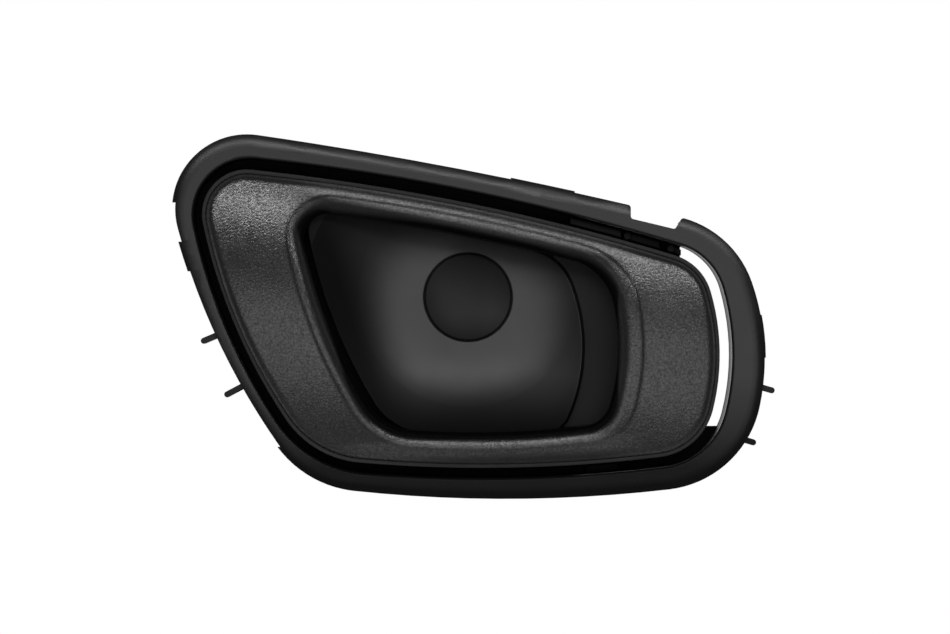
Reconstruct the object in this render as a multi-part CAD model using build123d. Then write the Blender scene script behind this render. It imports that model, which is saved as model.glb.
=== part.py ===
from build123d import *
from math import atan, cos, radians, sin, sqrt, tan
import os

os.makedirs("parts", exist_ok=True)

# Millimetres. X runs right and Z up as the handle is seen, Y runs into the door.
# The origin is the mounting screw hole on its rear seat. Heights are measured from that seat
# towards the hand.

# Lever outline: corners before rounding, how far each side bows out, and corner radii
lever_bottom_left = Vector(-43.1, -45.1)
lever_top_left = Vector(-76.9, 37.2)
lever_top_right = Vector(65.1, 9.5)
lever_bottom_right = Vector(64.4, -43.4)
lever_left_bow = 6.45
lever_top_bow = 4.1
lever_right_bow = 5.8
lever_bottom_bow = 3.6
lever_radii = (27.8, 12.6, 14.9, 17.6)

# Mouth of the ring at the crest of its lip, each corner as a step in from the lever's corner
mouth_step_bottom_left = Vector(17.0, 5.0)
mouth_step_top_left = Vector(24.9, -8.5)
mouth_step_top_right = Vector(-24.6, 1.7)
mouth_step_bottom_right = Vector(-23.8, 4.7)
mouth_left_bow = 4.6
mouth_top_bow = 2.1
mouth_right_bow = 5.2
mouth_bottom_bow = 2.3
mouth_radii = (20.2, 10.8, 20.0, 12.0)

# Bead around the mouth: how far it reaches out from the crest, how high it stands, its outer round
bead_reach = 1.6
bead_reach_right = 3.9
bead_height = 0.24
bead_round = 1.2

# Gap around the lever and wall of the tub
gap_left = 2.35
gap_top = 3.1
gap_right = 3.4
gap_bottom = 2.8
gap_radii = (32.5, 15.8, 17.5, 20.0)
tub_wall = 2.0

# Flange outline, each corner as a step out from the lever's corner, and the fall of its outer edge
flange_step_bottom_left = Vector(-2.2, -7.6)
flange_step_top_left = Vector(-11.0, 12.0)
flange_step_top_right = Vector(6.9, 9.7)
flange_step_bottom_right = Vector(8.9, -8.2)
flange_left_bow = 8.0
flange_top_bow = 2.7
flange_right_bow = 10.5
flange_bottom_bow = 4.4
flange_radii = (30.8, 21.0, 28.2, 29.4)
flange_thickness = 2.6
flange_fall = 3.5
flange_fall_bend = 9.6
flange_rim = 1.5
flange_rim_round = 0.9

# Heights
tub_back = 6.0
tub_floor = 8.0
back_rib_height = 2.5
flange_front = 22.0
plate_front = 21.0
plate_thickness = 2.2
pocket_floor = 11.8
pocket_wall = 2.0
hinge_height = 15.0

# Dome of the ring: height and place of its crown, its two bending radii, and its turn along the top side
dome_crown = 29.4
dome_x = -2.0
dome_z = -8.0
dome_bend_across = 800.0
dome_bend_up = 160.0
dome_turn = 11.0
cover_wall = 2.2
cover_step = 1.0
cover_edge_round = 2.5
cover_seam = 0.5
lip_round = 3.8
grip_wall = 4.2
finger_reach = 17.0

# Cup floor: how far its edge lies inside the crest of the lip, and the dish in it
cup_left = 5.5
cup_top = 3.7
cup_right = 13.6
cup_bottom = 3.1
cup_radii = (18.6, 5.0, 15.4, 7.0)
cup_floor = 9.5
cup_wall = 2.0
cup_under_lever = 0.8
dish_flat_radius = 14.5
dish_bend = 48.0
dish_slope = 20.0
dish_reach = 70.0
cup_rib_count = 8
back_rib_count = 16
rib_thickness = 1.6

# Well, screw hole and cap in the cup floor
screw_hole_radius = 2.75
screw_seat_radius = 7.5
well_floor = 4.0
well_wall = 2.0
cap_radius = 12.2
cap_gap = 0.45
cap_thickness = 1.7
cap_ledge = 1.2
cap_skirt_gap = 0.3
cap_skirt_wall = 1.2
cap_skirt_height = 2.4
cap_edge_round = 0.4
cap_slot = 3.0

# Hinge under the left band
hinge_inset = 15.0
hinge_slide = 3.0
pin_radius = 1.75
pin_fit = 0.02
pin_running = 0.05
pin_head_radius = 2.8
pin_head = 1.2
ear_span = 37.0
ear_thickness = 3.0
barrel_radius = 3.4
knuckle_length = 6.0
knuckle_play = 0.4
pull_angle = 23.0

# Cable arm behind the lever and the bracket that holds the cable's sleeve
arm_place = 6.0
arm_thickness = 4.0
arm_length = 28.0
arm_lean = 3.0
arm_half_width = 3.0
arm_end_radius = 4.6
cable_end_radius = 2.6
cable_slit = 1.8
arm_clearance = 0.7
bracket_offset = 8.2
bracket_thickness = 2.5
bracket_half_width = 7.0
bracket_past_cable = 5.0
sleeve_radius = 3.1
gusset_reach = 6.0
gusset_height = 13.0

# Return spring around the pin
spring_radius = 3.2
wire_radius = 0.5
spring_pitch = 1.2
spring_turns = 5
spring_place = -9.0
spring_leg_tilt = 22.5
spring_upper_leg = 6.3
spring_lower_leg = 8.8

# Screws that hold the cover: how far each stands from the mouth's crest or the lever's edge
screw_upper_left_z = 25.5
screw_upper_left_step = 5.8
screw_lower_left_z = -37.0
screw_lower_left_step = 8.6
screw_middle_x = 5.0
screw_top_step = 0.3
screw_bottom_step = 0.7
screw_right_z = -17.0
screw_right_inset = 5.0
screw_radius = 1.1
screw_length = 5.0
screw_head_radius = 2.5
screw_head = 1.5
screw_fit = 0.02
screw_pass = 0.3
screw_boss_radius = 2.7

# Rubber rest bumpers on posts
bumper_x = 20.0
bumper_upper_step = 1.1
bumper_lower_step = 2.3
bumper_radius = 3.1
bumper_height = 3.6
bumper_play = 0.1
bumper_stem_radius = 1.6
bumper_stem = 4.5
bumper_fit = 0.02
post_radius = 3.8

# Guide wall in the gap at the top right, notches in the flange and locating pegs
guide_gap = 0.8
guide_thickness = 1.6
guide_start = 28.8
guide_end = 59.9
guide_height = 17.0
guide_low = 15.0
guide_rib_radius = 1.0
guide_ribs = (44.8, 57.1)
guide_slots = ((43.0, 43.8), (53.8, 56.1))
low_guide_start = 33.6
low_guide_end = 42.0
low_guide_height = 14.0
window_bottom_z = -36.4
window_clearance = 1.5
window_ledge = 4.0
pocket_start = 24.0
pocket_gap = 0.8
top_pad_start = 12.0
top_pad_end = 29.9
top_pad_depth = 0.4
right_pad_bottom = -17.0
right_pad_top = -5.0
right_pad_depth = 0.3
left_relief_bottom = -42.0
left_relief_top = 7.2
left_relief_depth = 0.65
corner_relief_bottom = 15.5
corner_relief_top = 26.5
corner_relief_depth = 0.9
notch_start = 45.6
notch_end = 58.0
notch_depth = 3.6
notch_ramp = 2.0
notch_round = 0.9
peg_width = 1.7
peg_back = 12.0
peg_tips = ((-74.9, -12.6, 203.0), (-68.3, -27.7, 208.0), (86.0, -26.4, -16.0), (80.8, -41.0, -16.0))
peg_length = 14.0
flange_rib_count = 18
flange_rib_height = 6.0
flange_rib_inset = 1.2

plate_back = plate_front - plate_thickness
flange_back = flange_front - flange_thickness
pocket_back = pocket_floor - pocket_wall
space = 100.0
left_side, top_side, right_side, bottom_side = range(4)


def meeting_point(first, second, near):
    first_centre, first_radius = first
    second_centre, second_radius = second
    between = second_centre - first_centre
    distance = between.length
    along = (distance**2 + first_radius**2 - second_radius**2) / (2 * distance)
    across = sqrt(first_radius**2 - along**2)
    foot = first_centre + between * (along / distance)
    step = Vector(-between.Y, between.X) * (across / distance)
    return min((foot + step, foot - step), key=lambda point: (point - near).length)


class Outline:
    # Four bowed sides with round corners, from the bottom left corner up and around
    def __init__(self, corners, bows, radii):
        self.corners = corners
        self.bows = bows
        self.radii = radii

    def side(self, index, growth=0.0):
        start = self.corners[index]
        end = self.corners[(index + 1) % 4]
        chord = end - start
        bow = self.bows[index]
        radius = (chord.length**2 / 4 + bow**2) / (2 * bow)
        outward = Vector(-chord.Y, chord.X).normalized()
        centre = (start + end) / 2 - outward * (radius - bow)
        return centre, radius + growth

    def face(self, growth=(0.0, 0.0, 0.0, 0.0), radii=None):
        sides = [self.side(index, growth[index]) for index in range(4)]
        points = [meeting_point(sides[i - 1], sides[i], self.corners[i]) for i in range(4)]
        arcs = []
        for index, (centre, radius) in enumerate(sides):
            start = points[index]
            end = points[(index + 1) % 4]
            middle = centre + ((start + end) / 2 - centre).normalized() * radius
            arcs.append(ThreePointArc(start, middle, end))
        flat = make_face(arcs)
        for point, radius in zip(points, radii or self.radii):
            flat = fillet(flat.vertices().sort_by_distance(point)[0], radius)
        return flat

    def across_x(self, index, x, growth, up):
        centre, radius = self.side(index, growth)
        return x, centre.Y + up * sqrt(radius**2 - (x - centre.X) ** 2)

    def across_z(self, index, z, growth, right):
        centre, radius = self.side(index, growth)
        return centre.X + right * sqrt(radius**2 - (z - centre.Y) ** 2), z

    def even(self, growth):
        return self.face((growth,) * 4, [radius + growth for radius in self.radii])


def slab(flat, low, high):
    return extrude(Plane.XZ.offset(low) * flat, amount=high - low)


def disc(x, z, radius, low, high):
    return slab(Pos(x, z) * Circle(radius), low, high)


def strip(start, end, low_z=-space, high_z=space):
    return Pos((start + end) / 2, (low_z + high_z) / 2) * Rectangle(end - start, high_z - low_z)


def dome(height):
    ball = Torus(dome_bend_across - dome_bend_up, dome_bend_up)
    return Pos(dome_x, dome_bend_across - height, dome_z) * Rot(0, dome_turn, 0) * ball


def dish(height):
    bend_end_radius = dish_flat_radius + dish_bend * sin(radians(dish_slope))
    bend_end_height = height + dish_bend * (1 - cos(radians(dish_slope)))
    half_slope = radians(dish_slope / 2)
    bend_middle = (
        dish_flat_radius + dish_bend * sin(half_slope),
        height + dish_bend * (1 - cos(half_slope)),
    )
    slope_end = bend_end_height + (dish_reach - bend_end_radius) * tan(radians(dish_slope))
    flat = make_face(
        [
            Line((0, space), (0, height)),
            Line((0, height), (dish_flat_radius, height)),
            ThreePointArc((dish_flat_radius, height), bend_middle, (bend_end_radius, bend_end_height)),
            Line((bend_end_radius, bend_end_height), (dish_reach, slope_end)),
            Line((dish_reach, slope_end), (dish_reach, space)),
            Line((dish_reach, space), (0, space)),
        ]
    )
    return Rot(90, 0, 0) * revolve(Plane.XZ * flat, Axis.Z)


lever = Outline(
    (lever_bottom_left, lever_top_left, lever_top_right, lever_bottom_right),
    (lever_left_bow, lever_top_bow, lever_right_bow, lever_bottom_bow),
    lever_radii,
)
mouth = Outline(
    (
        lever_bottom_left + mouth_step_bottom_left,
        lever_top_left + mouth_step_top_left,
        lever_top_right + mouth_step_top_right,
        lever_bottom_right + mouth_step_bottom_right,
    ),
    (mouth_left_bow, mouth_top_bow, mouth_right_bow, mouth_bottom_bow),
    mouth_radii,
)
mouth_wall_radii = [radius - lip_round for radius in mouth_radii]
flange_edge = Outline(
    (
        lever_bottom_left + flange_step_bottom_left,
        lever_top_left + flange_step_top_left,
        lever_top_right + flange_step_top_right,
        lever_bottom_right + flange_step_bottom_right,
    ),
    (flange_left_bow, flange_top_bow, flange_right_bow, flange_bottom_bow),
    flange_radii,
)


def mouth_with_reach(growth):
    radii = [radius + growth for radius in mouth_wall_radii]
    inset = growth - lip_round
    return mouth.face((inset, inset, inset + finger_reach, inset), radii)


def cup_outline(growth):
    sides = (growth - cup_left, growth - cup_top, growth - cup_right, growth - cup_bottom)
    return mouth.face(sides, [radius + growth for radius in cup_radii])


def tub_outline(growth):
    sides = (gap_left + growth, gap_top + growth, gap_right + growth, gap_bottom + growth)
    return lever.face(sides, [radius + growth for radius in gap_radii])


screw_places = (
    mouth.across_z(left_side, screw_upper_left_z, screw_upper_left_step, -1),
    mouth.across_z(left_side, screw_lower_left_z, screw_lower_left_step, -1),
    mouth.across_x(top_side, screw_middle_x, screw_top_step, 1),
    mouth.across_x(bottom_side, screw_middle_x, screw_bottom_step, -1),
    lever.across_z(right_side, screw_right_z, -screw_right_inset, 1),
)
bumper_places = {
    "upper": mouth.across_x(top_side, bumper_x, bumper_upper_step, 1),
    "lower": mouth.across_x(bottom_side, bumper_x, bumper_lower_step, -1),
}

# Hinge frame: x across the lever towards the grip, y towards the hand, z down along the pin
hinge_along = (lever_bottom_left - lever_top_left).normalized()
hinge_across = Vector(-hinge_along.Y, hinge_along.X)
hinge_middle = (
    (lever_bottom_left + lever_top_left) / 2
    + hinge_across * (hinge_inset - lever_left_bow)
    + hinge_along * hinge_slide
)
hinge = Plane(
    origin=(hinge_middle.X, -hinge_height, hinge_middle.Y),
    x_dir=(hinge_across.X, 0, hinge_across.Y),
    z_dir=(hinge_along.X, 0, hinge_along.Y),
)


def hinge_slab(flat, start, end):
    return hinge * (Pos(0, 0, start) * extrude(flat, amount=end - start))


def hinge_block(x_low, x_high, y_low, y_high, z_low, z_high):
    flat = Pos((x_low + x_high) / 2, (y_low + y_high) / 2) * Rectangle(x_high - x_low, y_high - y_low)
    return hinge_slab(flat, z_low, z_high)


def crown_of(ring):
    return ring.faces().filter_by(GeomType.TORUS).sort_by(SortBy.AREA)[-1]


# Lever cover: domed band with a rolled edge and a bead around the mouth, open from behind
cover_top = dome_crown + 2 * lip_round
band_crown = dome_crown - bead_height
mouth_wall_flat = mouth.face((-lip_round,) * 4, mouth_wall_radii)
bead_sides = (bead_reach, bead_reach, bead_reach_right, bead_reach)
bead_flat = mouth.face(bead_sides, [radius + bead_reach for radius in mouth_radii])
cover = slab(lever.even(-cover_step) - mouth.even(bead_reach / 2), plate_front, cover_top)
cover &= dome(band_crown)
cover = fillet(crown_of(cover).outer_wire().edges(), cover_edge_round)
bead = slab(bead_flat - mouth_wall_flat, plate_front, cover_top) & dome(dome_crown)
bead = fillet(crown_of(bead).inner_wires()[0].edges(), lip_round)
bead = fillet(crown_of(bead).outer_wire().edges(), bead_round)
cover += bead
hollow = slab(lever.even(-cover_step - cover_wall) - mouth_with_reach(cover_wall), plate_front, cover_top)
cover -= hollow & dome(band_crown - cover_wall)
cover -= slab(mouth_with_reach(0), plate_front, cover_top) & dome(dome_crown - grip_wall)
cover = chamfer(cover.faces().sort_by(Axis.Y)[-1].outer_wire().edges(), cover_seam)
for x, z in screw_places:
    cover += disc(x, z, screw_boss_radius, plate_front, cover_top) & dome(band_crown - cover_wall / 2)
for x, z in screw_places:
    cover -= disc(x, z, screw_radius + screw_fit, plate_front, plate_front + screw_length - plate_thickness)
export_step(cover, "parts/lever_cover.step")

# Lever body: rim plate, finger pocket, knuckles and cable arm
pocket_zone = strip(pocket_start, space) - cup_outline(pocket_gap)
pocket = slab(mouth_with_reach(pocket_wall) & pocket_zone, pocket_back, plate_back)
pocket -= slab(mouth_with_reach(0), pocket_floor, plate_back)
body = slab(lever.face() - mouth_with_reach(0), plate_back, plate_front) + pocket
barrel_low = hinge_height - plate_back
knuckle_inner = ear_span / 2 - knuckle_play - knuckle_length
knuckle_flat = Circle(barrel_radius) + Pos(0, -barrel_low / 2) * Rectangle(2 * barrel_radius, -barrel_low)
for start in (-knuckle_inner - knuckle_length, knuckle_inner):
    body += hinge_slab(knuckle_flat, start, start + knuckle_length)
arm_start = arm_place - arm_thickness / 2
arm_end = arm_place + arm_thickness / 2
cable_end = Pos(-arm_lean, -arm_length)
arm_flat = make_hull([*Circle(arm_half_width).edges(), *(cable_end * Circle(arm_end_radius)).edges()])
arm_flat += knuckle_flat
arm_flat -= cable_end * Circle(cable_end_radius)
arm_flat -= cable_end * Pos(-arm_end_radius, 0) * Rectangle(2 * arm_end_radius, cable_slit)
body += hinge_slab(arm_flat, arm_start, arm_end)
body -= hinge_slab(Circle(pin_radius + pin_running), -ear_span / 2, ear_span / 2)
for x, z in screw_places:
    body -= disc(x, z, screw_radius + screw_pass, plate_back, plate_front)
export_step(body, "parts/lever_body.step")

# Screws of the cover, heads behind the rim plate
screws = []
for x, z in screw_places:
    head = disc(x, z, screw_head_radius, plate_back - screw_head, plate_back)
    shank = disc(x, z, screw_radius, plate_back - screw_head, plate_back + screw_length)
    screws.append((head + shank).solid())
export_step(Compound(children=screws), "parts/cover_screws.step")

# Housing: tub with its floor, cup, flange, hinge ears, bumper posts and cable bracket
flange_flat = flange_edge.face()
flange_flat += flange_edge.even(top_pad_depth) & strip(top_pad_start, top_pad_end, 0, space)
flange_flat += flange_edge.even(right_pad_depth) & strip(0, space, right_pad_bottom, right_pad_top)
left_relief = strip(-space, 0, left_relief_bottom, left_relief_top)
flange_flat -= left_relief - flange_edge.even(-left_relief_depth)
corner_relief = strip(-space, 0, corner_relief_bottom, corner_relief_top)
flange_flat -= corner_relief - flange_edge.even(-corner_relief_depth)
notch_brow = notch_end + notch_ramp
notch_flat = make_face(
    Polyline(
        (notch_start, space),
        (notch_start, 0),
        (notch_end, 0),
        flange_edge.across_x(top_side, notch_end, -notch_depth, 1),
        flange_edge.across_x(top_side, notch_brow, 0, 1),
        (notch_brow, space),
        close=True,
    )
)
flange_flat -= notch_flat - flange_edge.even(-notch_depth)
notch_corners = flange_flat.vertices().filter_by_position(Axis.X, notch_start - notch_round, notch_brow)
flange_flat = fillet(notch_corners.filter_by_position(Axis.Y, 0, space), notch_round)
pillow = slab(flange_edge.even(flange_fall_bend - flange_fall), flange_back - flange_fall_bend, flange_front)
pillow = fillet(pillow.faces().sort_by(Axis.Y)[0].edges(), flange_fall_bend)
rim_middle = (flange_rim + flange_rim_round) / 2
flange = slab(flange_flat - tub_outline(rim_middle), flange_back, flange_front) & pillow
rim = slab(tub_outline(flange_rim) - tub_outline(0), flange_back, flange_front)
rim = fillet(rim.faces().sort_by(Axis.Y)[0].inner_wires()[0].edges(), flange_rim_round)
housing = slab(tub_outline(tub_wall), tub_back, flange_back)
housing -= slab(tub_outline(0), tub_floor, flange_back)
housing += flange + rim
flange_rib_flat = flange_edge.even(-flange_rib_inset) - tub_outline(0) - notch_flat
flange_rib_zone = slab(flange_rib_flat, flange_back - flange_rib_height, flange_back)
flange_ribs = [
    Rot(0, index * 360 / flange_rib_count, 0)
    * (Pos(space / 2, -flange_back, 0) * Box(space, 2 * flange_rib_height, rib_thickness))
    for index in range(flange_rib_count)
]
for rib in flange_ribs:
    housing += rib & flange_rib_zone
peg_flat = Pos(-peg_length / 2 - peg_width / 2, 0) * Rectangle(peg_length, peg_width)
peg_flat += Pos(-peg_width / 2, 0) * Circle(peg_width / 2)
for x, z, turn in peg_tips:
    peg = Pos(x, z) * Rot(0, 0, turn) * peg_flat
    housing += slab(peg - tub_outline(tub_wall / 2), peg_back, flange_back)

window = mouth_with_reach(pocket_wall + window_clearance) & strip(pocket_start, space)
window -= cup_outline(window_ledge)
window += tub_outline(0) & strip(guide_end, space, window_bottom_z, space)
back_rib_zone = slab(tub_outline(tub_wall / 2) - cup_outline(-cup_wall), tub_back - back_rib_height, tub_back)
back_ribs = [
    Rot(0, index * 360 / back_rib_count, 0)
    * (Pos(space / 2, 0, 0) * Box(space, space, rib_thickness))
    for index in range(back_rib_count)
]
for rib in back_ribs:
    housing += rib & back_rib_zone
housing += slab(tub_outline(tub_wall) - tub_outline(0), tub_back - back_rib_height, tub_back)
housing -= slab(window, tub_back - back_rib_height, tub_floor)

cup_top_limit = plate_back - cup_under_lever
cup_solid = slab(cup_outline(0), tub_back, cup_top_limit) - dish(cup_floor)
cup_hollow = slab(cup_outline(-cup_wall), tub_back, flange_front) - dish(cup_floor - cup_wall)
cup = cup_solid - cup_hollow
for index in range(cup_rib_count):
    rib = Rot(0, index * 360 / cup_rib_count, 0) * (Pos(space / 2, 0, 0) * Box(space, space, rib_thickness))
    cup += rib & cup_solid
cap_seat = cup_floor - cap_thickness
well_radius = cap_radius + cap_gap
cup += disc(0, 0, well_radius + well_wall, well_floor - well_wall, cup_floor)
cup += disc(0, 0, screw_seat_radius, 0, well_floor)
cup -= disc(0, 0, well_radius, cap_seat, flange_front)
cup -= disc(0, 0, well_radius - cap_ledge, well_floor, cap_seat)
cup -= disc(0, 0, screw_hole_radius, 0, well_floor)
housing -= slab(cup_outline(-cup_wall), tub_back, tub_floor)
housing += cup

ear_flat = Circle(barrel_radius)
ear_drop = hinge_height - tub_back
ear_flat += Pos(0, -ear_drop / 2) * Rectangle(2 * barrel_radius, ear_drop)
for start in (-ear_span / 2 - ear_thickness, ear_span / 2):
    housing += hinge_slab(ear_flat, start, start + ear_thickness)
ear_end = ear_span / 2 + ear_thickness
housing -= hinge_slab(Circle(pin_radius + pin_fit), -ear_end, ear_end)

slot_back = hinge_height - tub_back + back_rib_height
arm_rest = atan(arm_lean / arm_length)
arm_pulled = radians(pull_angle) - arm_rest
arm_reach = arm_half_width + (arm_end_radius - arm_half_width) * slot_back / arm_length
housing -= hinge_block(
    -slot_back * tan(arm_rest) - arm_reach / cos(arm_rest) - arm_clearance,
    slot_back * tan(arm_pulled) + arm_reach / cos(arm_pulled) + arm_clearance,
    -slot_back,
    -(hinge_height - tub_floor),
    arm_start - arm_clearance,
    arm_end + arm_clearance,
)
bracket_front = -arm_lean - bracket_offset + bracket_thickness / 2
bracket_back = bracket_front - bracket_thickness
bracket_low = arm_place - bracket_half_width
bracket_high = arm_place + bracket_half_width
bracket_tip = -arm_length - bracket_past_cable
bracket_root = -(hinge_height - tub_floor)
bracket = hinge_block(bracket_back, bracket_front, bracket_tip, bracket_root, bracket_low, bracket_high)
sleeve_low = arm_place - sleeve_radius
sleeve_high = arm_place + sleeve_radius
bracket -= hinge_block(bracket_back, bracket_front, bracket_tip, -arm_length, sleeve_low, sleeve_high)
gusset_flat = make_face(
    Polyline(
        (bracket_front, bracket_root),
        (bracket_front + gusset_reach, bracket_root),
        (bracket_front, bracket_root - gusset_height),
        close=True,
    )
)
for start in (bracket_low, bracket_high - rib_thickness):
    bracket += hinge_slab(gusset_flat, start, start + rib_thickness)
housing += bracket

bumper_top = plate_back - bumper_play
bumper_foot = bumper_top - bumper_height
for place, (x, z) in bumper_places.items():
    housing += disc(x, z, post_radius, tub_back, bumper_foot)
    housing -= disc(x, z, bumper_stem_radius + bumper_fit, bumper_foot - bumper_stem, bumper_foot)
    bumper = disc(x, z, bumper_radius, bumper_foot, bumper_top)
    bumper += disc(x, z, bumper_stem_radius, bumper_foot - bumper_stem, bumper_foot)
    export_step(bumper, f"parts/rest_bumper_{place}.step")


def gap_strip(side_index, start, end):
    inner = [guide_gap if index == side_index else 0.0 for index in range(4)]
    outer = [guide_gap + guide_thickness if index == side_index else 0.0 for index in range(4)]
    return (lever.face(outer) - lever.face(inner)) & strip(start, end)


guide_flat = gap_strip(top_side, guide_start, guide_end)
for start, end in guide_slots:
    guide_flat -= strip(start, end)
housing += slab(guide_flat & strip(guide_start, guide_slots[0][0]), tub_back, guide_height)
housing += slab(guide_flat & strip(guide_slots[0][0], guide_end), tub_back, guide_low)
for place in guide_ribs:
    x, z = lever.across_x(top_side, place, guide_gap + guide_thickness / 2, 1)
    housing += disc(x, z, guide_rib_radius, tub_back, guide_height)
housing += slab(gap_strip(bottom_side, low_guide_start, low_guide_end), tub_back, low_guide_height)
export_step(housing, "parts/housing.step")

# Pivot pin with a small head at its upper end
pin = hinge_slab(Circle(pin_radius), -ear_end, ear_end + pin_head)
pin += hinge_slab(Circle(pin_head_radius), -ear_end - pin_head, -ear_end)
export_step(pin, "parts/pivot_pin.step")

# Return spring: coil around the pin, one leg under the rim plate and one on the tub floor
coil_angle = 360 * spring_turns + 180 - spring_leg_tilt
coil_length = spring_pitch * coil_angle / 360
coil = Helix(spring_pitch, coil_length, spring_radius, lefthand=True)
coil = Pos(0, 0, spring_place) * (Rot(0, 0, 90) * coil)
wire_start = Plane(origin=coil @ 0, z_dir=coil % 0)
spring = sweep(wire_start * Circle(wire_radius), path=coil, is_frenet=True)
upper_leg = Plane(origin=coil @ 0, z_dir=-(coil % 0))
spring += extrude(upper_leg * Circle(wire_radius), amount=spring_upper_leg)
lower_leg = Plane(origin=coil @ 1, z_dir=coil % 1)
spring += extrude(lower_leg * Circle(wire_radius), amount=spring_lower_leg)
export_step(hinge * spring, "parts/return_spring.step")

# Screw cap: flat disc with a slotted skirt that snaps into the well
skirt_radius = well_radius - cap_ledge - cap_skirt_gap
cap = disc(0, 0, cap_radius, cap_seat, cup_floor)
cap = fillet(cap.faces().sort_by(Axis.Y)[0].edges(), cap_edge_round)
skirt = disc(0, 0, skirt_radius, cap_seat - cap_skirt_height, cap_seat)
skirt -= disc(0, 0, skirt_radius - cap_skirt_wall, cap_seat - cap_skirt_height, cap_seat)
skirt -= slab(Rectangle(2 * well_radius, cap_slot), cap_seat - cap_skirt_height, cap_seat)
skirt -= slab(Rectangle(cap_slot, 2 * well_radius), cap_seat - cap_skirt_height, cap_seat)
cap += skirt
export_step(cap, "parts/screw_cap.step")
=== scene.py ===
import bmesh
import bpy
from math import radians
from mathutils import Matrix, Vector


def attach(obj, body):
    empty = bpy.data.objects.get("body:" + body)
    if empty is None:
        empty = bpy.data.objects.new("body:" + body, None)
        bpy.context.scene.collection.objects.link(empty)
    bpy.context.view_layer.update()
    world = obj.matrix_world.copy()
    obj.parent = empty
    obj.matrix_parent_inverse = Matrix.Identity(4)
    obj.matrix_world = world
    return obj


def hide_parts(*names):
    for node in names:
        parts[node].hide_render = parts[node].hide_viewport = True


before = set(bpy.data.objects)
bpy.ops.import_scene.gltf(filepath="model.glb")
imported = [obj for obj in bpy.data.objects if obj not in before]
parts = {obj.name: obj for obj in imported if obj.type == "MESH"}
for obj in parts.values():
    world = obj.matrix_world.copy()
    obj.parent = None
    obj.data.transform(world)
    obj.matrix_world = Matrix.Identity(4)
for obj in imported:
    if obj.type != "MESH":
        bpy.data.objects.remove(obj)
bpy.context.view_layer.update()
print("frame loaded:", len(parts), "nodes")


# small helpers for node trees

noiseSpan = (0.3, 0.7)  # most of a noise lies between these
wear = {"samples": 4, "flat": 0.99, "corner": 0.75}
wallLeans = {"left": (1, 0, 0.323), "right": (1, 0, 0), "low": (0, 0, 1), "top": (0.209, 0, 1)}


def newFinish(name):
    finish = bpy.data.materials.new(name)
    finish.use_nodes = True
    tree = finish.node_tree
    coords = put(tree, "ShaderNodeTexCoord").outputs["Object"]
    return finish, tree, tree.nodes["Principled BSDF"], coords


def put(tree, kind, inputs=None, **settings):
    node = tree.nodes.new(kind)
    for key, value in settings.items():
        setattr(node, key, value)
    for key, value in (inputs or {}).items():
        node.inputs[key].default_value = value
    return node


# numbers and vectors are set on the sockets, anything else is linked
def feed(tree, node, values):
    for socket, value in zip(node.inputs, values):
        if isinstance(value, (int, float, tuple)):
            socket.default_value = value
        else:
            tree.links.new(value, socket)


def combine(tree, operation, first, second):
    node = put(tree, "ShaderNodeMath", operation=operation)
    feed(tree, node, (first, second))
    return node.outputs[0]


def vectors(tree, operation, *values):
    node = put(tree, "ShaderNodeVectorMath", operation=operation)
    feed(tree, node, values)
    return node.outputs


def times(tree, first, second):
    return combine(tree, "MULTIPLY", first, second)


# two patterns in one, the first with the given share
def blend(tree, first, share, second):
    return combine(tree, "ADD", times(tree, first, share), times(tree, second, 1 - share))


def noiseAt(tree, vector, scale, detail=2.0, roughness=0.5, output="Fac"):
    noise = put(tree, "ShaderNodeTexNoise", {"Scale": scale, "Detail": detail, "Roughness": roughness})
    tree.links.new(vector, noise.inputs["Vector"])
    return noise.outputs[output]


def spread(tree, value, low, high, toLow=0.0, toHigh=1.0, ease="LINEAR"):
    span = put(tree, "ShaderNodeMapRange", {1: low, 2: high, 3: toLow, 4: toHigh}, interpolation_type=ease)
    tree.links.new(value, span.inputs[0])
    return span.outputs[0]


# the value times the share where the amount is 1, and as it was where the amount is 0
def dimBy(tree, value, amount, share):
    return times(tree, value, spread(tree, amount, 0, 1, 1.0, share))


def layOver(tree, amount, under, colour):
    mix = put(tree, "ShaderNodeMix", {7: (*colour, 1)}, data_type="RGBA")
    tree.links.new(amount, mix.inputs[0])
    if isinstance(under, tuple):
        mix.inputs[6].default_value = (*under, 1)
    else:
        tree.links.new(under, mix.inputs[6])
    return mix.outputs[2]


def bumpOn(tree, shader, height, strength, depth, normal=None):
    bump = put(tree, "ShaderNodeBump", {"Strength": strength, "Distance": depth})
    tree.links.new(height, bump.inputs["Height"])
    if normal:
        tree.links.new(normal, bump.inputs["Normal"])
    tree.links.new(bump.outputs[0], shader.inputs["Normal"])


def axesOf(tree, vector):
    split = put(tree, "ShaderNodeSeparateXYZ")
    tree.links.new(vector, split.inputs[0])
    return split.outputs


def faceNormal(tree):
    return put(tree, "ShaderNodeTexCoord").outputs["Normal"]


# the place as seen from the front, without its depth
def flatPlace(tree, coords):
    return vectors(tree, "MULTIPLY", coords, (1, 0, 1))["Vector"]


# edges where two faces meet sharply, 0 on the flats and 1 on a corner
def wornEdges(tree, reach):
    softened = put(tree, "ShaderNodeBevel", {"Radius": reach}, samples=wear["samples"]).outputs[0]
    true = put(tree, "ShaderNodeNewGeometry").outputs["Normal"]
    meet = vectors(tree, "DOT_PRODUCT", softened, true)["Value"]
    return spread(tree, meet, wear["flat"], wear["corner"]), softened


# pale wear in patches along the edges
def rubEdges(tree, coords, edge, rub, under, colour):
    patches = spread(tree, noiseAt(tree, coords, rub["scale"], 3), *rub["span"])
    return layOver(tree, times(tree, edge, patches), under, colour)


# a soft round spot seen from the front, 1 in its core
def spotAt(tree, coords, place, radius, core=0.2):
    apart = vectors(tree, "DISTANCE", flatPlace(tree, coords), (place[0], 0, place[1]))["Value"]
    return spread(tree, apart, core * radius, radius, 1, 0, "SMOOTHSTEP")


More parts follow.
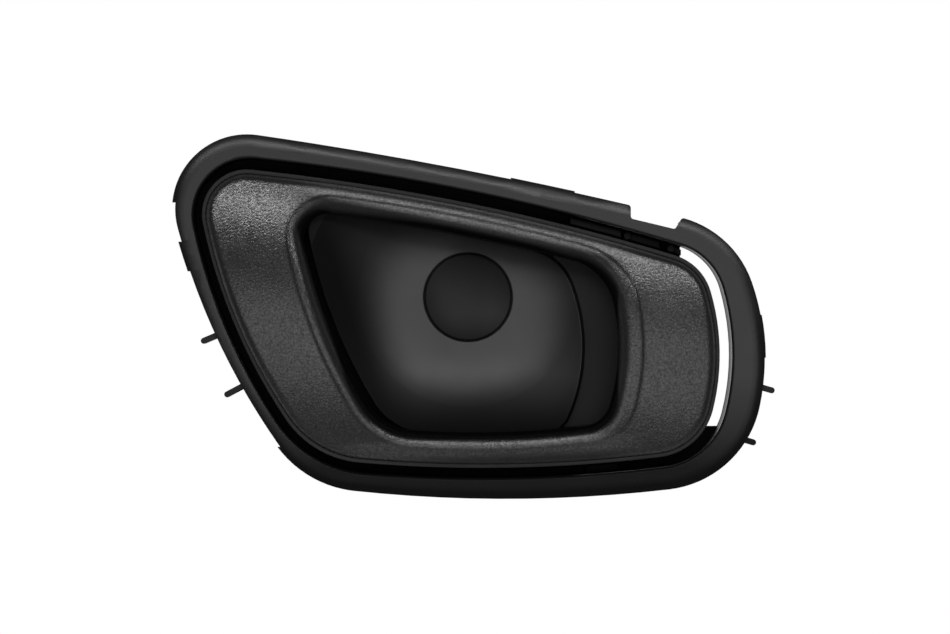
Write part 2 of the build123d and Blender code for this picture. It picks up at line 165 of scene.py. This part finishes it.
# a soft change across a line that leans in the plane of the handle
def fadeAcross(tree, coords, lean, low, high, toLow=0.0, toHigh=1.0):
    across = vectors(tree, "DOT_PRODUCT", coords, lean)["Value"]
    return spread(tree, across, low, high, toLow, toHigh, "SMOOTHSTEP")


# the inside of the mouth or of the cup: left and top fade along the leaning walls
def insideOf(tree, coords, zone):
    amount = None
    for side, lean in wallLeans.items():
        fade = fadeAcross(tree, coords, lean, *zone[side])
        amount = times(tree, amount, fade) if amount else fade
    return amount


# 1 where a face turns away from the middle of the handle, -1 where it turns towards it
def outwardTurn(tree, coords):
    outward = vectors(tree, "NORMALIZE", flatPlace(tree, coords))["Vector"]
    return vectors(tree, "DOT_PRODUCT", outward, faceNormal(tree))["Value"]


# sparse pale dust, one grain in some of the cells
def dustAt(tree, coords, scale, size, share, core=0.5, step=0.01):
    cells = put(tree, "ShaderNodeTexVoronoi", {"Scale": scale})
    tree.links.new(coords, cells.inputs["Vector"])
    chosen = put(tree, "ShaderNodeSeparateColor")
    tree.links.new(cells.outputs["Color"], chosen.inputs[0])
    dot = spread(tree, cells.outputs["Distance"], size, core * size)
    return times(tree, dot, spread(tree, chosen.outputs[0], 1 - share, 1 - share + step))


# 1 for what the camera sees and for mirrored rays that end behind the handle, where the backdrop stands
def seenWhite(tree, place, behind):
    ray = put(tree, "ShaderNodeLightPath").outputs
    mirrored = combine(tree, "MAXIMUM", ray["Is Glossy Ray"], ray["Is Transmission Ray"])
    mirrored = times(tree, mirrored, spread(tree, axesOf(tree, place)["Y"], *behind))
    return combine(tree, "MAXIMUM", ray["Is Camera Ray"], mirrored)


# camera and light

view = {
    "centre": (0.00196, -0.0056), "distance": 1.45, "plane": 0.022, "width": 0.266,
    "sensor": 36, "clip": (0.05, 20),
}

camera = bpy.data.objects.new("camera", bpy.data.cameras.new("camera"))
bpy.context.scene.collection.objects.link(camera)
camera.location = (view["centre"][0], -view["distance"], view["centre"][1])
camera.rotation_euler = (radians(90), 0, 0)
camera.data.sensor_width = view["sensor"]
camera.data.lens = view["sensor"] * (view["distance"] - view["plane"]) / view["width"]
camera.data.clip_start, camera.data.clip_end = view["clip"]
bpy.context.scene.camera = camera
bpy.context.scene.view_settings.view_transform = "Standard"

lamps = {
    "topPanel": {"place": (0.05, -1.26, 0.462), "size": (1.2, 0.06), "power": 5.0, "roll": 0},
    "frontPanel": {"place": (0.0, -1.8, -0.19), "size": (1.4, 0.68), "power": 4.6, "roll": 14},
    "rearPanel": {"place": (0.3, 1.2, 0.7), "size": (1.0, 1.0), "power": 9.0, "roll": 0},
}

for name, lamp in lamps.items():
    light = bpy.data.lights.new(name, "AREA")
    light.shape = "RECTANGLE"
    light.size, light.size_y = lamp["size"]
    light.energy = lamp["power"]
    stand = bpy.data.objects.new(name, light)
    bpy.context.scene.collection.objects.link(stand)
    stand.location = lamp["place"]
    aim = (-Vector(lamp["place"])).to_track_quat("-Z", "Y").to_matrix()
    stand.rotation_euler = (aim @ Matrix.Rotation(radians(lamp["roll"]), 3, "Z")).to_euler()

room = {"ambient": 0.05, "white": 1.0, "behind": (-0.25, 0.25)}

world = bpy.data.worlds.new("room")
bpy.context.scene.world = world
world.use_nodes = True
sky = world.node_tree
backdrop = sky.nodes["Background"]
seen = seenWhite(sky, put(sky, "ShaderNodeTexCoord").outputs["Generated"], room["behind"])
sky.links.new(spread(sky, seen, 0, 1, room["ambient"], room["white"]), backdrop.inputs["Strength"])
backdrop.inputs["Color"].default_value = (1, 1, 1, 1)

floor = {
    "drop": 0.8, "reach": 2.2, "colour": (0.86, 0.86, 0.86), "pale": (0.9, 0.9, 0.9), "cloud": 3.0,
    "rough": 0.9, "glow": 0.75, "behind": (-0.2, 0.3),
}

bpy.ops.mesh.primitive_plane_add(size=2 * floor["reach"], location=(0, 0, -floor["drop"]))
ground = bpy.context.object
ground.name = "floor"
groundFinish, tree, shader, coords = newFinish("paleFloor")
shade = noiseAt(tree, coords, floor["cloud"])
tree.links.new(layOver(tree, shade, floor["colour"], floor["pale"]), shader.inputs["Base Color"])
shader.inputs["Roughness"].default_value = floor["rough"]
seen = seenWhite(tree, coords, floor["behind"])
tree.links.new(times(tree, seen, floor["glow"]), shader.inputs["Emission Strength"])
shader.inputs["Emission Color"].default_value = (1, 1, 1, 1)
ground.data.materials.append(groundFinish)
print("camera, lamps, room and floor placed")


# finishes

grain = {
    "black": (0.021, 0.021, 0.022), "grey": (0.034, 0.034, 0.035), "worn": (0.07, 0.07, 0.072),
    "drift": {"scale": 420, "reach": 0.0011}, "cell": 1000, "pebble": 0.28, "fine": 2600, "fineShare": 0.7,
    "depth": 0.00002, "bump": 0.55, "cloud": 55, "pebbleShare": 0.45, "rough": (0.17, 0.23), "patch": 90,
    "edge": 0.0013, "rub": {"scale": 240, "span": (0.45, 0.75, 0.0, 0.5)},
    "pit": {"scale": 1650, "span": (0.3, 0.7), "shine": (0.24, 0.76)},
    "smudges": (((-0.0655, 0.0204), 0.0021), ((-0.0676, 0.0182), 0.0024)), "smudgeShine": 0.6,
    "dust": {"scale": 130, "size": 0.03, "share": 0.06}, "dustColour": (0.2, 0.2, 0.2),
    # the inner roll of the lip: smooth without grain; its near-black colour is painted shade inside the mouth
    "roll": {
        "left": (-0.0425, -0.041), "right": (0.0425, 0.0415),
        "low": (-0.0408, -0.0394), "top": (0.0196, 0.018),
        "turn": (-0.2, -0.55), "colour": (0.004, 0.004, 0.004), "shine": 0.25,
    },
    "bands": {
        "top": {
            "left": (-0.052, -0.038), "right": (0.049, 0.036), "start": (0.004, 0.012),
            "lean": wallLeans["top"], "lip": (0.0186, 0.0212), "shine": (0.2, 2.3), "rough": 0.16,
        },
        "low": {
            "left": (-0.042, -0.026), "right": (0.052, 0.036), "start": (-0.0392, -0.0402),
            "lean": (-0.04, 0, 1), "lip": (-0.0464, -0.0432), "shine": (0.3, 1.8), "rough": 0.08,
        },
    },
}


# pebbles with bent borders, and the bent coordinates
def pebbles(tree, coords):
    drift = noiseAt(tree, coords, grain["drift"]["scale"], output="Color")
    shift = vectors(tree, "MULTIPLY", drift, (grain["drift"]["reach"],) * 3)["Vector"]
    bent = vectors(tree, "ADD", coords, shift)["Vector"]
    cells = put(tree, "ShaderNodeTexVoronoi", {"Scale": grain["cell"]}, feature="DISTANCE_TO_EDGE")
    tree.links.new(bent, cells.inputs["Vector"])
    return spread(tree, cells.outputs["Distance"], 0.0, grain["pebble"]), bent


# hands polish the narrow bands above and below the mouth
def polishBand(tree, coords, band, shine, rough):
    ends = [fadeAcross(tree, coords, wallLeans["right"], *band[side]) for side in ("left", "right")]
    along = times(tree, *ends)
    along = times(tree, along, fadeAcross(tree, coords, band["lean"], *band["start"]))
    polish = fadeAcross(tree, coords, band["lean"], *band["lip"], *band["shine"])
    polish = times(tree, along, combine(tree, "SUBTRACT", polish, 1.0))
    shine = times(tree, shine, combine(tree, "ADD", polish, 1.0))
    soft = fadeAcross(tree, coords, band["lean"], *band["lip"], 0, band["rough"])
    return shine, combine(tree, "ADD", rough, times(tree, along, soft))


def grainedPlastic():
    finish, tree, shader, coords = newFinish("grainedPlastic")
    pebble, bent = pebbles(tree, coords)
    fine = noiseAt(tree, coords, grain["fine"], 3, 0.6)
    height = combine(tree, "ADD", pebble, times(tree, fine, grain["fineShare"]))
    edge, softNormal = wornEdges(tree, grain["edge"])
    bumpOn(tree, shader, height, grain["bump"], grain["depth"], softNormal)
    cloud = noiseAt(tree, coords, grain["cloud"], 4, 0.6)
    mottle = blend(tree, pebble, grain["pebbleShare"], cloud)
    colour = layOver(tree, mottle, grain["black"], grain["grey"])
    colour = rubEdges(tree, coords, edge, grain["rub"], colour, grain["worn"])
    colour = layOver(tree, dustAt(tree, coords, **grain["dust"]), colour, grain["dustColour"])
    inward = spread(tree, outwardTurn(tree, coords), *grain["roll"]["turn"])
    roll = times(tree, insideOf(tree, coords, grain["roll"]), inward)  # the inner roll of the lip: smooth plastic without grain, darkened to near black as painted shade
    tree.links.new(layOver(tree, roll, colour, grain["roll"]["colour"]), shader.inputs["Base Color"])
    first, second = [spotAt(tree, coords, *spot) for spot in grain["smudges"]]
    smudge = times(tree, combine(tree, "MAXIMUM", first, second), pebble)
    pit = grain["pit"]
    shine = spread(tree, noiseAt(tree, bent, pit["scale"], 2, 0.6), *pit["span"], *pit["shine"])
    shine = dimBy(tree, shine, smudge, grain["smudgeShine"])
    shine = dimBy(tree, shine, roll, grain["roll"]["shine"])
    rough = spread(tree, noiseAt(tree, coords, grain["patch"], 3), *noiseSpan, *grain["rough"])
    for band in grain["bands"].values():
        shine, rough = polishBand(tree, coords, band, shine, rough)
    tree.links.new(shine, shader.inputs["Specular IOR Level"])
    tree.links.new(rough, shader.inputs["Roughness"])
    return finish


# what the three satin plastics share: patterns, and which way a face has to turn
satin = {
    "bump": 0.5, "cloud": 40, "patch": 70, "rub": {"scale": 200, "span": (0.4, 0.75, 0.1, 0.6)},
    "front": (-0.3, -0.7), "rear": (0.1, 0.4), "side": (0.4, 0.8),
}

satinSettings = {
    "housingSatin": {
        "black": (0.006, 0.006, 0.0065), "grey": (0.01, 0.01, 0.0105), "worn": (0.06, 0.06, 0.062),
        "fine": 2200, "depth": 0.00001, "rough": (0.27, 0.33), "edge": 0.0005,
        "shine": 0.45, "rear": 0.4, "side": 0.45,
        "inner": {"span": (-0.0205, -0.0185), "rough": 0.12, "shine": 0.07},
        "dull": {"span": (-0.0094, -0.0086), "rough": 0.1, "share": 0.3},
        "rubbed": {
            "left": (-0.036, -0.02), "right": (0.046, 0.018), "low": (-0.038, -0.019), "top": (0.019, 0.004),
            "shine": 0.66,
        },
        "dusty": {"span": (-0.022, -0.048), "share": 0.17},
    },
    "leverSatin": {
        "black": (0.012, 0.012, 0.013), "grey": (0.019, 0.019, 0.02), "worn": (0.055, 0.055, 0.057),
        "fine": 2400, "depth": 0.00002, "rough": (0.26, 0.34), "edge": 0.0004,
        "shine": 0.24, "rear": 0.4,
        "inner": {"span": (-0.0186, -0.0165), "rough": 0.1, "shine": 0.16},
        "dull": {"span": (-0.0165, -0.015), "rough": 0.15, "share": 1.0},
    },
    "capSatin": {
        "black": (0.007, 0.007, 0.0075), "grey": (0.011, 0.011, 0.0115), "worn": (0.05, 0.05, 0.052),
        "fine": 1900, "depth": 0.00003, "rough": (0.38, 0.46), "edge": 0.0003,
        "shine": 0.04, "rear": 0.3,
        "inner": {"span": (-0.0094, -0.0086), "rough": 0.1, "shine": 0.04},
        "dull": {"span": (-0.0094, -0.0086), "rough": 0.1, "share": 1.0},
        "rubbed": {
            "left": (-0.018, -0.004), "right": (0.02, 0.006), "low": (-0.016, -0.003), "top": (0.014, -0.005),
            "shine": 0.25,
        },
    },
}


# smooth in front, duller the deeper a face lies, shinier again where fingers rub it
def satinPlastic(name):
    look = satinSettings[name]
    finish, tree, shader, coords = newFinish(name)
    fine = noiseAt(tree, coords, look["fine"], 3, 0.6)
    edge, softNormal = wornEdges(tree, look["edge"])
    bumpOn(tree, shader, fine, satin["bump"], look["depth"], softNormal)
    cloud = noiseAt(tree, coords, satin["cloud"], 4, 0.6)
    colour = layOver(tree, cloud, look["black"], look["grey"])
    colour = rubEdges(tree, coords, edge, satin["rub"], colour, look["worn"])
    tree.links.new(colour, shader.inputs["Base Color"])
    place = axesOf(tree, coords)
    inner, dull = look["inner"], look["dull"]
    rough = spread(tree, noiseAt(tree, coords, satin["patch"], 3), *noiseSpan, *look["rough"])
    for zone in (inner, dull):
        rough = combine(tree, "ADD", rough, spread(tree, place["Y"], *zone["span"], 0, zone["rough"]))
    tree.links.new(rough, shader.inputs["Roughness"])
    facing = axesOf(tree, faceNormal(tree))["Y"]
    shine = spread(tree, place["Y"], *inner["span"], look["shine"], inner["shine"])
    if "rubbed" in look:
        rub = times(tree, insideOf(tree, coords, look["rubbed"]), spread(tree, facing, *satin["front"]))
        shine = combine(tree, "ADD", shine, times(tree, rub, look["rubbed"]["shine"]))
    if "dusty" in look:
        dusty = look["dusty"]
        shine = times(tree, shine, spread(tree, place["Z"], *dusty["span"], 1, dusty["share"]))
    shine = times(tree, shine, spread(tree, place["Y"], *dull["span"], 1, dull["share"]))
    rear = spread(tree, facing, *satin["rear"], 0, look["rear"])
    if "side" in look:
        side = spread(tree, outwardTurn(tree, coords), *satin["side"], 0, look["side"])
        rear = combine(tree, "MAXIMUM", rear, side)
    tree.links.new(combine(tree, "MAXIMUM", shine, rear), shader.inputs["Specular IOR Level"])
    return finish


# the pattern is drawn out along the piece, which leans by the turn
drawing = {
    "stretch": (4, 4, 0.25), "drawn": 900, "drawnShare": 0.5, "stain": 160, "bump": 0.3, "depth": 0.00002,
}

steelSettings = {
    "drawnSteel": {
        "dark": (0.36, 0.36, 0.37), "light": (0.6, 0.6, 0.61), "rough": (0.22, 0.4), "turn": 22.3,
    },
    "springSteel": {
        "dark": (0.24, 0.24, 0.25), "light": (0.42, 0.42, 0.43), "rough": (0.25, 0.42), "turn": 22.3,
    },
    "zincSteel": {
        "dark": (0.42, 0.42, 0.4), "light": (0.6, 0.6, 0.57), "rough": (0.28, 0.45), "turn": 0,
    },
}


def steel(name):
    look = steelSettings[name]
    finish, tree, shader, coords = newFinish(name)
    lean = (0, radians(look["turn"]), 0)
    turned = put(tree, "ShaderNodeMapping", {"Rotation": lean, "Scale": drawing["stretch"]})
    tree.links.new(coords, turned.inputs["Vector"])
    drawn = noiseAt(tree, turned.outputs[0], drawing["drawn"], 4, 0.7)
    stain = noiseAt(tree, coords, drawing["stain"], 3)
    amount = blend(tree, drawn, drawing["drawnShare"], stain)
    tree.links.new(layOver(tree, amount, look["dark"], look["light"]), shader.inputs["Base Color"])
    shader.inputs["Metallic"].default_value = 1.0
    tree.links.new(spread(tree, drawn, *noiseSpan, *look["rough"]), shader.inputs["Roughness"])
    bumpOn(tree, shader, drawn, drawing["bump"], drawing["depth"])
    return finish


rubber = {
    "black": (0.014, 0.014, 0.014), "dust": (0.05, 0.049, 0.047), "fine": 3000, "rough": (0.7, 0.85),
    "dusting": 500, "dustSpan": (0.5, 0.8, 0.0, 0.6), "bump": 0.4, "depth": 0.00005,
}


def bumperRubber():
    finish, tree, shader, coords = newFinish("bumperRubber")
    fine = noiseAt(tree, coords, rubber["fine"], 3, 0.6)
    dust = spread(tree, noiseAt(tree, coords, rubber["dusting"], 4), *rubber["dustSpan"])
    tree.links.new(layOver(tree, dust, rubber["black"], rubber["dust"]), shader.inputs["Base Color"])
    tree.links.new(spread(tree, fine, *noiseSpan, *rubber["rough"]), shader.inputs["Roughness"])
    bumpOn(tree, shader, fine, rubber["bump"], rubber["depth"])
    return finish


def coat(node, finish):
    part = parts[node]
    part.data.materials.clear()
    part.data.materials.append(finish)


# cover screws: round heads with a cross recess where the CAD has plain ones

screw = {
    "headRadius": 0.0025, "head": 0.0015, "round": 0.0006, "roundSteps": 4, "sides": 32,
    "shankRadius": 0.0011, "recess": 0.0014, "arm": 0.00035, "sunk": 0.0008, "touch": 1e-6,
}


def screwIslands(node):
    merged = bmesh.new()
    merged.from_mesh(parts[node].data)
    bmesh.ops.remove_doubles(merged, verts=merged.verts, dist=screw["touch"])
    left = set(merged.verts)
    boxes = []
    while left:
        found = [left.pop()]
        for vert in found:
            near = {edge.other_vert(vert) for edge in vert.link_edges} & left
            left -= near
            found.extend(near)
        low = Vector([min(v.co[i] for v in found) for i in range(3)])
        high = Vector([max(v.co[i] for v in found) for i in range(3)])
        boxes.append((low, high))
    merged.free()
    return boxes


def addRod(shape, radius, length, middle):
    bmesh.ops.create_cone(
        shape, cap_ends=True, segments=screw["sides"], radius1=radius, radius2=radius,
        depth=length, matrix=Matrix.Translation((0, 0, middle)),
    )


# one screw along +Z with the top of its head at the origin
def addScrew(length):
    shape = bmesh.new()
    addRod(shape, screw["headRadius"], screw["head"], -screw["head"] / 2)
    rimEdges = [e for e in shape.edges if all(v.co.z > -screw["touch"] for v in e.verts)]
    bmesh.ops.bevel(
        shape, geom=rimEdges, offset=screw["round"], affect="EDGES", segments=screw["roundSteps"],
        profile=0.5, material=-1,
    )
    for axis in (Vector((1, 0, 0)), Vector((0, 1, 0))):
        for reach in (screw["arm"], screw["recess"]):
            for side in (-1, 1):
                everything = shape.verts[:] + shape.edges[:] + shape.faces[:]
                bmesh.ops.bisect_plane(shape, geom=everything, plane_co=axis * reach * side, plane_no=axis)
    cross = []
    for face in shape.faces:
        middle = face.calc_center_median()
        near, far = sorted((abs(middle.x), abs(middle.y)))
        if middle.z > -screw["touch"] and near < screw["arm"] and far < screw["recess"]:
            cross.append(face)
    sunk = bmesh.ops.extrude_face_region(shape, geom=cross)["geom"]
    bmesh.ops.delete(shape, geom=cross, context="FACES")
    floorVerts = [g for g in sunk if isinstance(g, bmesh.types.BMVert)]
    bmesh.ops.translate(shape, verts=floorVerts, vec=(0, 0, -screw["sunk"]))
    addRod(shape, screw["shankRadius"], length - screw["head"], -(length + screw["head"]) / 2)
    bmesh.ops.recalc_face_normals(shape, faces=shape.faces)
    return shape


def makeScrews():
    mesh = bpy.data.meshes.new("crossHeadScrews")
    for low, high in screwIslands("cover_screws"):
        shape = addScrew(high.y - low.y)
        centre = (low + high) / 2
        turn = Matrix.Translation((centre.x, high.y, centre.z)) @ Matrix.Rotation(radians(-90), 4, "X")
        bmesh.ops.transform(shape, matrix=turn, verts=shape.verts)
        shape.from_mesh(mesh)
        shape.to_mesh(mesh)
        shape.free()
    piece = bpy.data.objects.new("crossHeadScrews", mesh)
    bpy.context.scene.collection.objects.link(piece)
    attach(piece, "lever")
    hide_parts("cover_screws")
    return piece


coat("lever_cover", grainedPlastic())
coat("housing", satinPlastic("housingSatin"))
coat("lever_body", satinPlastic("leverSatin"))
coat("screw_cap", satinPlastic("capSatin"))
coat("pivot_pin", steel("drawnSteel"))
coat("return_spring", steel("springSteel"))
zinc = steel("zincSteel")
coat("cover_screws", zinc)
screws = makeScrews()
screws.data.materials.append(zinc)
softRubber = bumperRubber()
coat("rest_bumper_upper", softRubber)
coat("rest_bumper_lower", softRubber)
print("finishes on all nodes")
